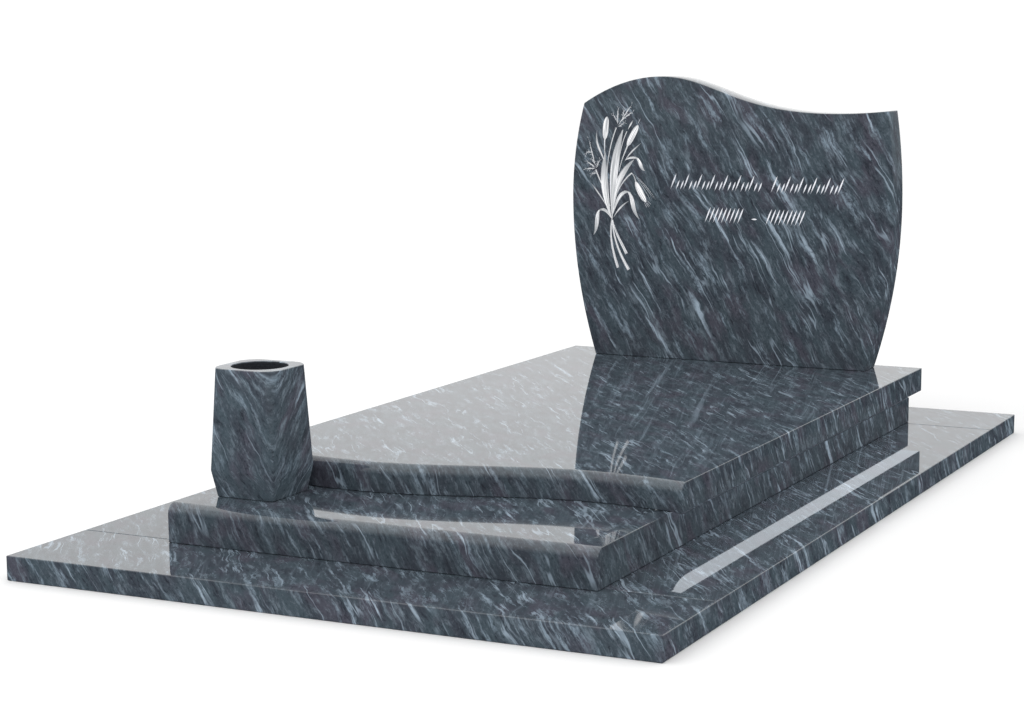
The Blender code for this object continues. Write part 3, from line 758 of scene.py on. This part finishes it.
def make_silver(name, ribbons, material, base_depth, crown):
    """Silver fill of the grooves: a low crowned bar along each spine.

    Across a ribbon the surface rises by crown * (1 - s squared), s from -1 to 1, over a
    flat underside. Later ribbons lie a hair higher, so that they pass in front. The UV
    map gives the ribbon's number plus the place across, and the place along, which
    ends sooner on anything but a leaf, where the paint doesn't thin out.
    """
    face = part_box("headstone")[0].y
    points, faces, chart = [], [], []
    share = np.linspace(-1, 1, RIBBON_ACROSS + 1)
    place = np.concatenate([share, share[::-1]]) / 2 + 0.5
    start = 0
    for number, ((spine, side, reach), form) in enumerate(ribbons):
        level = face + base_depth - STROKE_LIFT * number
        inner = reach[:, None] * SILVER_WIDTH_SHARE
        plan = spine[:, None, :] + side[:, None, :] * (inner * share)[..., None]
        rise = crown * (1 - share**2) * (reach / reach.max())[:, None]
        top = np.stack([plan[..., 0], level - rise, plan[..., 1]], -1)
        base = np.full_like(rise, level + STROKE_LIFT)
        under = np.stack([plan[..., 0], base, plan[..., 1]], -1)[:, ::-1]
        loop = np.concatenate([top, under], axis=1)
        rows, columns = loop.shape[:2]
        faces.extend([corner + start for corner in ring] for ring in tube_faces(rows, columns))
        start += rows * columns
        points.append(loop.reshape(-1, 3))
        end = 1.0 if form == "leaf" else FULL_PAINT_END
        along = np.linspace(0, end, rows)[:, None] + 0 * loop[..., 0]
        across = number + CHART_MARGIN + (1 - 2 * CHART_MARGIN) * place[None, :] + 0 * along
        chart.append(np.stack([across, along], -1).reshape(-1, 2))
    piece = new_piece(name, np.vstack(points), faces, [material])
    corner_points = mesh_values(piece.data.loops, "vertex_index", kind=int)
    layer = piece.data.uv_layers.new(name="along_stroke")
    layer.data.foreach_set("uv", np.vstack(chart)[corner_points].astype(np.float32).ravel())


def hair_ribbons():
    """Fine hairs as ribbons: barbs that leave each ray to its left and right in turn,
    bent outward, and the awns."""
    tie, size = bouquet_place()
    chance = np.random.default_rng(AWN_SEED)
    found = []
    for (spine, left, _), form in bouquet_ribbons():
        if form != "ray":
            continue
        places = np.linspace(BARB_START * RIBBON_STEPS, RIBBON_STEPS, BARBS_PER_RAY)
        for number, place in enumerate(places.astype(int)):
            ahead = np.array([left[place, 1], -left[place, 0]])
            across = left[place] * (1 if number % 2 else -1)
            lean = math.radians(BARB_LEAN * chance.uniform(*BARB_LEAN_SPREAD))
            length = BARB_REACH * size * chance.uniform(*BARB_REACH_SPREAD)
            near = ahead * math.cos(lean) + across * math.sin(lean)
            bend = BARB_BEND * lean
            far = ahead * math.cos(bend) + across * math.sin(bend)
            root = spine[place]
            control = (root, root + near * length / 2, root + far * length)
            found.append(bezier(control, HAIR_STEPS))
    for points in AWNS:
        found.append(bezier(tie + np.reshape(points, (4, 2)) * size, 2 * HAIR_STEPS))
    return [(ribbon_sides(spine, HAIR_WIDTH, "leaf"), "hair") for spine in found]


def soft_square(half, corner):
    """Square with round corners: each quarter is an arc about a centre that stands
    half - corner out on both axes, then the run to the next arc in even steps."""
    found = []
    for quarter in range(4):
        turn = (quarter + np.linspace(0, 1, VASE_CORNER_STEPS + 1)) * math.pi / 2
        middle = (quarter + 0.5) * math.pi / 2
        centre = np.sign([math.cos(middle), math.sin(middle)]) * (half - corner)
        arc = centre + np.stack([np.cos(turn), np.sin(turn)], -1) * corner
        following = np.array([-arc[0, 1], arc[0, 0]])
        share = np.linspace(0, 1, VASE_SIDE_STEPS + 1)[1:-1, None]
        found += [arc, arc[-1] + (following - arc[-1]) * share]
    return np.vstack(found)


def make_vase(materials):
    """Vase as a stack of soft squares, then circles down its bore.

    The half width runs from the foot up to the shoulder and stays the same to the rim,
    while the corner radius grows in proportion to the height above the shoulder. The
    foot, shoulder, rim and mouth are eased by quarter arcs of the arris.
    """
    low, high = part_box("vase")
    centre = np.array([(low.x + high.x) / 2, (low.y + high.y) / 2])
    half = (high.x - low.x) / 2
    foot = VASE_FOOT_WIDTH / 2
    height = high.z - low.z
    rings = []

    def add_ring(ring, level):
        rings.append(np.column_stack([ring + centre, np.full(len(ring), low.z + level)]))

    for t in ARRIS_TURN:
        square = soft_square(foot - ARRIS * (1 - math.sin(t)), VASE_FOOT_CORNER)
        add_ring(square, ARRIS * (1 - math.cos(t)))
    lean = (half - foot) / VASE_FOOT_HEIGHT
    for s in np.linspace(-1, 1, 2 * ARRIS_STEPS + 1):
        square = soft_square(half - ARRIS * lean * (1 - s) ** 2 / 4, VASE_FOOT_CORNER)
        add_ring(square, VASE_FOOT_HEIGHT + ARRIS * s)
    for share in np.linspace(0, 1, VASE_BANDS + 1)[1:-1]:
        corner = VASE_FOOT_CORNER + (VASE_RIM_CORNER - VASE_FOOT_CORNER) * share
        add_ring(soft_square(half, corner), VASE_FOOT_HEIGHT + (height - VASE_FOOT_HEIGHT) * share)
    for t in ARRIS_TURN:
        inset = ARRIS * (1 - math.cos(t))
        square = soft_square(half - inset, VASE_RIM_CORNER - inset)
        add_ring(square, height - ARRIS + ARRIS * math.sin(t))
    last = rings[-1][:, :2] - centre
    bearing = np.arctan2(last[:, 1], last[:, 0])
    circle = np.stack([np.cos(bearing), np.sin(bearing)], -1)
    bore_start = (len(rings) + ARRIS_STEPS) * len(circle)
    for t in ARRIS_TURN:
        radius = VASE_BORE_RADIUS + ARRIS * (1 - math.sin(t))
        add_ring(circle * radius, height - ARRIS * (1 - math.cos(t)))
    floor = height - VASE_BORE_DEPTH
    for share in np.linspace(0, 1, VASE_BANDS)[1:]:
        add_ring(circle * VASE_BORE_RADIUS, height - ARRIS + (floor - height + ARRIS) * share)
    for share in BORE_FLOOR_RINGS:
        add_ring(circle * (VASE_BORE_RADIUS * share), floor)
    faces = tube_faces(len(rings), len(circle))
    finishes = [int(min(face) >= bore_start) for face in faces]
    vase = new_piece(
        "vase_stone", np.vstack(rings), faces, materials, ("vase",), finishes
    )
    vase.data.set_sharp_from_angle(angle=math.radians(VASE_SHARP_ANGLE))
    weighted = vase.modifiers.new("even_normals", "WEIGHTED_NORMAL")
    weighted.keep_sharp = True


def feed(tree, node, inputs):
    """Give inputs of a node, by name or number, a value or the socket that feeds them."""
    for key, given in dict(inputs).items():
        if isinstance(given, bpy.types.NodeSocket):
            tree.links.new(given, node.inputs[key])
        else:
            node.inputs[key].default_value = given


def add_node(tree, kind, inputs=(), **settings):
    """Node with its settings and its inputs."""
    node = tree.nodes.new(kind)
    for key, value in settings.items():
        setattr(node, key, value)
    feed(tree, node, inputs)
    return node


def value_math(tree, operation, *given):
    """Result of a Math node on values or sockets."""
    return add_node(tree, "ShaderNodeMath", enumerate(given), operation=operation).outputs[0]


def product(tree, first, *others):
    """Product of values or sockets."""
    for other in others:
        first = value_math(tree, "MULTIPLY", first, other)
    return first


def ramp(tree, value, low, high):
    """Smooth step of a value from 0 at low to 1 at high."""
    inputs = {"Value": value, "From Min": low, "From Max": high}
    node = add_node(tree, "ShaderNodeMapRange", inputs, interpolation_type="SMOOTHSTEP")
    return node.outputs["Result"]


def noise(tree, vector, scale, detail, roughness):
    """Noise Texture on a vector, and its value."""
    inputs = {"Vector": vector, "Scale": scale, "Detail": detail, "Roughness": roughness}
    return add_node(tree, "ShaderNodeTexNoise", inputs).outputs["Fac"]


def blend_colour(tree, amount, first, second):
    """Mix of two colours, each a socket or a plain colour."""
    pair = [(*given, 1.0) if isinstance(given, tuple) else given for given in (first, second)]
    inputs = {0: amount, 6: pair[0], 7: pair[1]}
    return add_node(tree, "ShaderNodeMix", inputs, data_type="RGBA").outputs[2]


def foliation_turn(across):
    """Rotation that carries the X axis onto the direction across the foliation."""
    first = Vector(across).normalized()
    second = first.cross(Vector((0, 0, 1))).normalized()
    third = first.cross(second)
    return Matrix((first, second, third)).transposed().to_euler()


def make_granite_group(name, across, lift=1.0):
    """Node group of the stone's pattern, with its ground tints and light flakes brighter
    by the lift.

    Its layers, from the bottom: a slate ground in three tints, flakes drawn out along
    the foliation, dark and light grain, flame-like wisps where a stretched noise passes
    a threshold inside patches, thin bright threads in the same way, and longer veins
    where a noise is near its middle value.
    """
    tree = bpy.data.node_groups.new(name, "ShaderNodeTree")
    tree.interface.new_socket("Vector", in_out="INPUT", socket_type="NodeSocketVector")
    tree.interface.new_socket("Color", in_out="OUTPUT", socket_type="NodeSocketColor")
    entry = add_node(tree, "NodeGroupInput").outputs["Vector"]
    turn = foliation_turn(across)

    def shaken(vector, scale, reach):
        inputs = {"Vector": entry, "Scale": scale, "Detail": SHAKE_DETAIL}
        colour = add_node(tree, "ShaderNodeTexNoise", inputs).outputs["Color"]
        inputs = {0: colour, 1: (0.5, 0.5, 0.5)}
        centred = add_node(tree, "ShaderNodeVectorMath", inputs, operation="SUBTRACT")
        inputs = {0: centred.outputs[0], 1: (reach, reach, reach), 2: vector}
        return add_node(tree, "ShaderNodeVectorMath", inputs, operation="MULTIPLY_ADD").outputs[0]

    place = shaken(shaken(entry, *DRIFT), *RIPPLE)
    layers = {}
    for key, (size, detail, roughness) in LAYERS.items():
        inputs = {"Vector": place, "Rotation": turn, "Scale": size}
        spread = add_node(tree, "ShaderNodeMapping", inputs, vector_type="TEXTURE")
        layers[key] = noise(tree, spread.outputs["Vector"], 1.0, detail, roughness)

    def step(key):
        layer, low, high = STEPS[key]
        return ramp(tree, layers[layer], low, high)

    dark, teal, plum, light = (
        tuple(lift * channel for channel in colour)
        for colour in (GROUND_DARK, GROUND_TEAL, GROUND_PLUM, FLAKE_LIGHT)
    )
    stone = blend_colour(tree, step("teal"), dark, teal)
    stone = blend_colour(tree, step("plum"), stone, plum)
    stone = blend_colour(tree, step("dark_flakes"), stone, FLAKE_DARK)
    stone = blend_colour(tree, step("light_flakes"), stone, light)
    shade = product(tree, step("dark_grain"), GRAIN_SHADE)
    stone = blend_colour(tree, shade, stone, GRAIN_DARK)
    glint = product(tree, step("light_grain"), GRAIN_GLINT)
    stone = blend_colour(tree, glint, stone, GRAIN_LIGHT)
    wisps = product(tree, step("wisps"), step("wisp_patches"), step("wisp_breaks"))
    stone = blend_colour(tree, product(tree, wisps, WISP_STRENGTH), stone, WISP)
    threads = product(tree, step("threads"), step("thread_knots"), step("thread_breaks"))
    away = value_math(tree, "ABSOLUTE", value_math(tree, "SUBTRACT", layers["line"], 0.5))
    veins = product(tree, ramp(tree, away, *LINE_EDGE), step("line_spells"), LINE_STRENGTH)
    stone = blend_colour(tree, value_math(tree, "MAXIMUM", threads, veins), stone, VEIN)
    add_node(tree, "NodeGroupOutput", {"Color": stone})
    return tree


def new_material(name):
    """Material, its node tree and its shader."""
    material = bpy.data.materials.new(name)
    material.use_nodes = True
    return material, material.node_tree, material.node_tree.nodes["Principled BSDF"]


def own_place(tree):
    """A point's place in the piece's own axes."""
    return add_node(tree, "ShaderNodeTexCoord").outputs["Object"]


def bumped(tree, height, strength, distance):
    """Normal that is bumped by a height."""
    inputs = {"Height": height, "Strength": strength, "Distance": distance}
    return add_node(tree, "ShaderNodeBump", inputs).outputs["Normal"]


def overhang_mask(tree, place, side, start):
    """1 on the ledger's underside outside the plinth: past its side from the ledger's
    front, and over the relief too from a little behind the relief's start."""
    # This mask is where the ledger's underside gets its painted light.
    split = add_node(tree, "ShaderNodeSeparateXYZ", {"Vector": place})
    across = value_math(tree, "ABSOLUTE", split.outputs["X"])

    def past(edge, front):
        wide = value_math(tree, "GREATER_THAN", across, edge)
        return product(tree, wide, value_math(tree, "GREATER_THAN", split.outputs["Y"], front))

    plinth_side = side - LEDGER_OVERHANG
    outer = past(plinth_side, start)
    inner = past(plinth_side - RELIEF_WIDTH, RELIEF_START + PAINTED_LIGHT_SETBACK)
    return value_math(tree, "MAXIMUM", outer, inner)


def make_polished(name, group, seed_shift, overhang=None):
    """Stone under a polish that is full on the noses, a little less on the tops and thin
    on the upright faces, and whose downward faces are sawn and pale. Given the ledger's
    half width and front, the underside of its overhang glows with painted light, standing
    for that of the bright surround."""
    material, tree, shader = new_material(name)
    coordinates = add_node(tree, "ShaderNodeTexCoord")
    place = coordinates.outputs["Object"]
    moved = add_node(tree, "ShaderNodeMapping", {"Vector": place, "Location": seed_shift})
    inputs = {"Vector": moved.outputs["Vector"]}
    pattern = add_node(tree, "ShaderNodeGroup", inputs, node_tree=group).outputs["Color"]
    split = add_node(tree, "ShaderNodeSeparateXYZ", {"Vector": coordinates.outputs["Normal"]})
    upright = split.outputs["Z"]
    under = ramp(tree, upright, *UNDER_EDGE)
    sawn = blend_colour(tree, SAWN_PALENESS, pattern, SAWN_PALE)
    if overhang:
        # Painted light: the overhang's underside glows, standing for the light of the bright
        # surround.
        lit = product(tree, overhang_mask(tree, place, *overhang), under)
        painted_light = blend_colour(tree, lit, (0.0, 0.0, 0.0), UNDERSIDE_PAINTED_LIGHT)
        feed(tree, shader, {"Emission Color": painted_light, "Emission Strength": 1.0})
    polish = product(tree, ramp(tree, upright, *NOSE_EDGE), 1.0 - SIDE_POLISH)
    polish = value_math(tree, "ADD", polish, SIDE_POLISH)
    flat = product(tree, ramp(tree, upright, *TOP_EDGE), FLAT_LOSS)
    polish = value_math(tree, "SUBTRACT", polish, flat)
    above = value_math(tree, "SUBTRACT", 1.0, under)
    rough = product(tree, under, SAWN_ROUGHNESS - STONE_ROUGHNESS)
    marks = product(tree, noise(tree, place, *SAW_MARKS), under, SAW_MARK_DEPTH)
    feed(tree, shader, {
        "Base Color": blend_colour(tree, under, pattern, sawn),
        "Roughness": value_math(tree, "ADD", rough, STONE_ROUGHNESS),
        "Specular IOR Level": 0.0,
        "Coat Weight": product(tree, polish, above),
        "Coat IOR": POLISH_IOR,
        "Coat Roughness": POLISH_ROUGHNESS,
        "Normal": bumped(tree, marks, *SAW_MARK_BUMP),
    })
    return material


def make_sawn_shaded_finish(group):
    """Unpolished stone on the floor and the wall of the relief, darkened as painted shade under
    the ledger.
    """
    material, tree, shader = new_material("sawn_relief_painted_shade")
    inputs = {"Vector": own_place(tree)}
    pattern = add_node(tree, "ShaderNodeGroup", inputs, node_tree=group).outputs["Color"]
    feed(tree, shader, {
        # Painted shade: the relief is darkened towards black for the shade in the gap under the
        # ledger.
        "Base Color": blend_colour(tree, RELIEF_PAINTED_SHADE, pattern, GRAIN_DARK),
        "Roughness": RELIEF_ROUGHNESS,
        "Specular IOR Level": RELIEF_SPECULAR,
    })
    return material


def make_shaded_bore_finish():
    """Drilled, unpolished stone inside the vase with the core drill's fine rings, near black as
    painted shade.
    """
    material, tree, shader = new_material("drilled_bore_painted_shade")
    place = own_place(tree)
    fine = noise(tree, place, *BORE_GRAIN)
    inputs = {"Vector": place, "Scale": DRILL_RINGS, "Distortion": DRILL_WOBBLE}
    rings = add_node(tree, "ShaderNodeTexWave", inputs, bands_direction="Z")
    rough = value_math(tree, "ADD", product(tree, fine, BORE_UNEVENNESS), BORE_ROUGHNESS)
    feed(tree, shader, {
        # Painted shade: the bore's near-black colours stand for the shade deep in the hole; the
        # mottle is the stone's own.
        "Base Color": blend_colour(tree, ramp(tree, fine, *BORE_MOTTLE), BORE_DEEP_SHADE, BORE_PALER_SHADE),
        "Roughness": rough,
        "Normal": bumped(tree, rings.outputs["Fac"], *DRILL_RING_BUMP),
    })
    return material


def make_silver_finish(name, bright, dim, streaks):
    """Silver paint brushed along the strokes: its streaks run with the UV map's second
    coordinate, and past a share of it the paint thins out and is dimmer."""
    material, tree, shader = new_material(name)
    chart = add_node(tree, "ShaderNodeUVMap", uv_map="along_stroke").outputs["UV"]
    drawn = add_node(tree, "ShaderNodeMapping", {"Vector": chart, "Scale": BRUSH_SCALE})
    brush = noise(tree, drawn.outputs["Vector"], *BRUSH)
    amount = product(tree, ramp(tree, brush, *BRUSH_STREAKS), streaks)
    along = add_node(tree, "ShaderNodeSeparateXYZ", {"Vector": chart}).outputs["Y"]
    thin = product(tree, ramp(tree, along, *PAINT_FADE), ramp(tree, brush, *FADE_STREAKS))
    colour = blend_colour(tree, value_math(tree, "MAXIMUM", amount, thin), bright, dim)
    grit = noise(tree, own_place(tree), *SILVER_GRIT)
    feed(tree, shader, {
        "Base Color": colour,
        "Roughness": SILVER_ROUGHNESS,
        # Painted light: the silver glows with a share of its own colour.
        "Emission Color": colour,
        "Emission Strength": SILVER_PAINTED_LIGHT,
        "Normal": bumped(tree, grit, *SILVER_GRIT_BUMP),
    })
    return material


def make_groove_finish():
    """Silver paint on the floor and the walls of the grooves, a little duller."""
    material, tree, shader = new_material("silvered_groove")
    amount = ramp(tree, noise(tree, own_place(tree), *GROOVE_GRIT), *GROOVE_MOTTLE)
    colour = blend_colour(tree, amount, *GROOVE_COLOURS)
    feed(tree, shader, {"Base Color": colour, "Roughness": GROOVE_ROUGHNESS})
    return material


def make_stage():
    """White floor under the monument, and a surround that is white above the horizon.

    Reflections pass through the floor and find the surround dark below the horizon, as
    in a studio with dark walls low down, so the upright faces show the stone itself.
    """
    half = FLOOR_SIZE / 2
    level = CAD_BOX[0].z - FLOOR_DROP
    signs = ((-1, -1), (1, -1), (1, 1), (-1, 1))
    corners = [(half * x, half * y, level) for x, y in signs]
    mesh = bpy.data.meshes.new("studio_floor")
    mesh.from_pydata(corners, [], [(0, 1, 2, 3)])
    floor = new_object("studio_floor", mesh)
    paint, tree, shader = new_material("white_floor")
    white = (FLOOR_WHITE, FLOOR_WHITE, FLOOR_WHITE, 1.0)
    feed(tree, shader, {"Base Color": white, "Roughness": 1.0, "Specular IOR Level": 0.0})
    mesh.materials.append(paint)
    floor.visible_glossy = False

    world = bpy.data.worlds.new("bright_above_dark_below")
    world.use_nodes = True
    tree = world.node_tree
    direction = add_node(tree, "ShaderNodeTexCoord").outputs["Generated"]
    split = add_node(tree, "ShaderNodeSeparateXYZ", {"Vector": direction})
    above = ramp(tree, split.outputs["Z"], *HORIZON)
    shade = blend_colour(tree, above, UNDER_SURROUND, (1.0, 1.0, 1.0))
    feed(tree, tree.nodes["Background"], {"Color": shade, "Strength": SURROUND_STRENGTH})
    bpy.context.scene.world = world
    bpy.context.scene.view_settings.view_transform = "Standard"


def make_light():
    """Large soft box above and in front, to the left."""
    lamp = bpy.data.lights.new("soft_box", "AREA")
    lamp.shape = "SQUARE"
    lamp.size = SOFT_BOX_SIZE
    lamp.energy = SOFT_BOX_POWER
    box = new_object("soft_box", lamp)
    box.location = SOFT_BOX_PLACE
    box.visible_glossy = False
    aim = Vector(SOFT_BOX_AIM) - Vector(SOFT_BOX_PLACE)
    box.rotation_euler = aim.to_track_quat("-Z", "Y").to_euler()


def make_camera():
    """Camera at the solved place: focal length and principal point in pixels become the
    lens and the shift."""
    azimuth = math.radians(CAMERA_AZIMUTH)
    elevation = math.radians(CAMERA_ELEVATION)
    back = Vector((
        math.sin(azimuth) * math.cos(elevation),
        -math.cos(azimuth) * math.cos(elevation),
        math.sin(elevation),
    ))
    right = Vector((math.cos(azimuth), math.sin(azimuth), 0))
    up = back.cross(right)
    lens = bpy.data.cameras.new("camera")
    lens.sensor_width = SENSOR_WIDTH
    lens.lens = FOCAL_PIXELS * SENSOR_WIDTH / IMAGE_WIDTH
    lens.shift_x = (IMAGE_WIDTH / 2 - PRINCIPAL_POINT[0]) / IMAGE_WIDTH
    lens.shift_y = (PRINCIPAL_POINT[1] - IMAGE_HEIGHT / 2) / IMAGE_WIDTH
    camera = new_object("camera", lens)
    turn = Matrix((right, up, back)).transposed().to_4x4()
    camera.matrix_world = Matrix.Translation(CAMERA_PLACE) @ turn
    bpy.context.scene.camera = camera


def main():
    make_stage()
    make_light()
    make_camera()
    slab_pattern = make_granite_group("slab_pattern", SLAB_FOLIATION)
    vase_pattern = make_granite_group("vase_pattern", VASE_FOLIATION, VASE_LIFT)
    ledger_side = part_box("ledger")[1].x
    ledger_corner = float(ledger_front(np.array([ledger_side]))[0][0])
    overhangs = {"ledger": (ledger_side, ledger_corner)}
    stones = {
        node: make_polished(node + "_polished", slab_pattern, shift, overhangs.get(node))
        for node, shift in SEED_SHIFTS.items()
    }
    for node in ("footing_front", "footing_back", "footing_left", "footing_right"):
        make_slab(node + "_slab", node, ARRIS, [stones[node]])
    plinth_looks = [stones["plinth"], make_sawn_shaded_finish(slab_pattern)]
    make_slab("plinth_slab", "plinth", NOSE_RADIUS, plinth_looks, relief=True)
    ledger_looks = [stones["ledger"]]
    make_slab("ledger_slab", "ledger", NOSE_RADIUS, ledger_looks, ledger_front, LEDGER_SECTIONS)

    bouquet = bouquet_ribbons()
    rows = inscription_ribbons()
    make_headstone(bouquet + rows, [stones["headstone"], make_groove_finish()])
    silver = make_silver_finish("brushed_silver", *BOUQUET_SILVER)
    plain = make_silver_finish("plain_silver", *INSCRIPTION_SILVER)
    pale = make_silver_finish("hair_silver", *HAIR_SILVER)
    base = ENGRAVING_DEPTH - SILVER_FLOOR
    make_silver("bouquet_silver", bouquet, silver, base, SILVER_CROWN)
    make_silver("inscription_silver", rows, plain, base, SILVER_CROWN)
    make_silver("bouquet_hairs", hair_ribbons(), pale, 0.0, HAIR_PROUD)
    vase_polish = make_polished("vase_polished", vase_pattern, VASE_SEED_SHIFT)
    make_vase([vase_polish, make_shaded_bore_finish()])


main()
